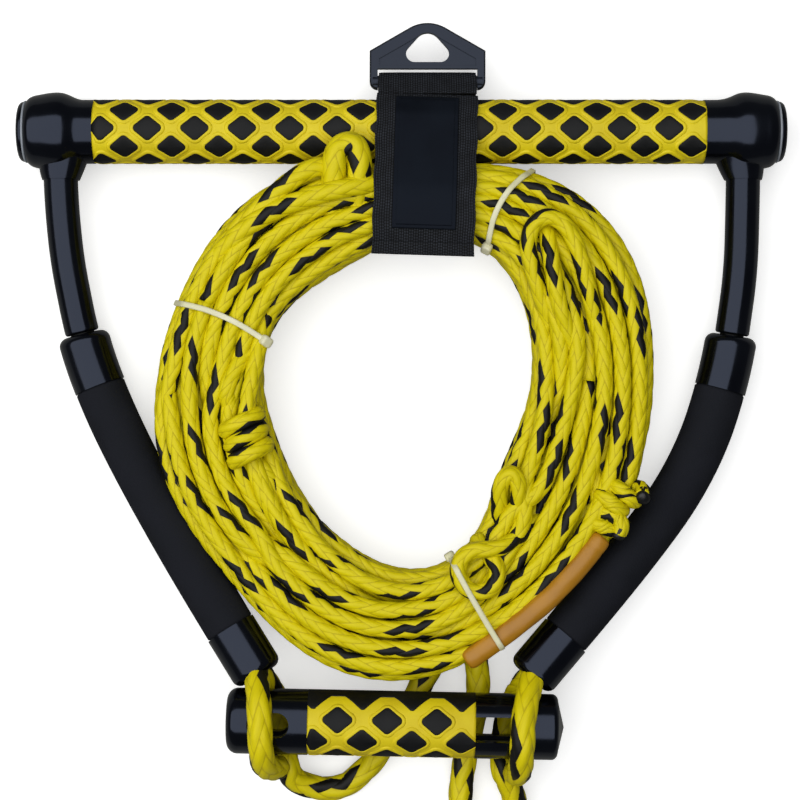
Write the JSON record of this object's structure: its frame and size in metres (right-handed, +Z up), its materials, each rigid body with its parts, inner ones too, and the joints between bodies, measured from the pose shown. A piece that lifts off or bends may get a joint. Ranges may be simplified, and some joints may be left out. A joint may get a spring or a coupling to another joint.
{
  "type": "tow rope handle",
  "caption": "Water sports tow rope handle: yellow and black grip bar, floats, small inner handle, storage strap and a tied coil of yellow braided rope.",
  "frame": {"origin": "middle of the footprint without the loose rope, on the floor the handle lies on", "axes": "+X along the main grip bar, +Y from the small inner handle towards the main bar, +Z up from the floor"},
  "size_m": [0.3816, 0.414, 0.0588],
  "materials": {
    "foam_yellow": "satin",
    "pad_rubber": "matte",
    "bar_aluminium": "satin",
    "dipped_vinyl": "gloss",
    "float_foam": "matte",
    "core_nylon": "matte",
    "rope_yellow": "braided",
    "webbing_black": "ribbed",
    "patch_black": "smooth",
    "tab_plastic": "moulded",
    "tie_nylon": "translucent white",
    "sleeve_orange": "printed sleeve"
  },
  "bodies": {
    "handle": {"main_bar_tube": "bar_aluminium", "main_grip_sleeve": "foam_yellow", "main_grip_pads": "pad_rubber", "boot_left": "dipped_vinyl", "boot_right": "dipped_vinyl", "end_plug_left": "dipped_vinyl", "end_plug_right": "dipped_vinyl", "leg_sleeve_left": "dipped_vinyl", "leg_sleeve_right": "dipped_vinyl", "float_foam_left": "float_foam", "float_foam_right": "float_foam", "float_cap_top_left": "dipped_vinyl", "float_cap_top_right": "dipped_vinyl", "float_cap_bottom_left": "dipped_vinyl", "float_cap_bottom_right": "dipped_vinyl", "bridle_rope": "rope_yellow", "loop_front_left": "rope_yellow", "loop_back_left": "rope_yellow", "loop_front_right": "rope_yellow", "loop_back_right": "rope_yellow", "tail_left": "rope_yellow", "tail_right": "rope_yellow", "strap_back": "webbing_black", "strap_wrap": "webbing_black", "tow_rope_coil": "rope_yellow", "cable_tie_left": "tie_nylon", "cable_tie_top": "tie_nylon", "cable_tie_bottom": "tie_nylon", "orange_sleeve": "sleeve_orange", "end_knot": "rope_yellow"},
    "flap": {"strap_flap": "webbing_black", "strap_patch": "patch_black", "hook_tape": "patch_black"},
    "hanger": {"hang_tab": "tab_plastic"},
    "small_handle": {"small_core": "core_nylon", "small_grip_sleeve": "foam_yellow", "small_grip_pads": "pad_rubber", "small_end_sleeve_left": "dipped_vinyl", "small_end_sleeve_right": "dipped_vinyl", "small_end_cap_left": "dipped_vinyl", "small_end_cap_right": "dipped_vinyl"}
  },
  "joints": [
    {"name": "hang_tab_swing", "type": "hinge", "parent": "handle", "child": "hanger", "pos_m": [0.013, 0.15404, 0.01951], "axis": [1, 0, 0], "range_deg": [-75, 60]},
    {"name": "strap_flap_lift", "type": "hinge", "parent": "handle", "child": "flap", "pos_m": [0.0129, 0.14746, 0.02971], "axis": [-0.9995, 0.0314, 0], "range_deg": [0, 85]},
    {"name": "small_handle_roll", "type": "hinge", "parent": "handle", "child": "small_handle", "pos_m": [0, -0.16546, 0.02901], "axis": [0.9998, -0.0209, 0], "continuous": true}
  ]
}
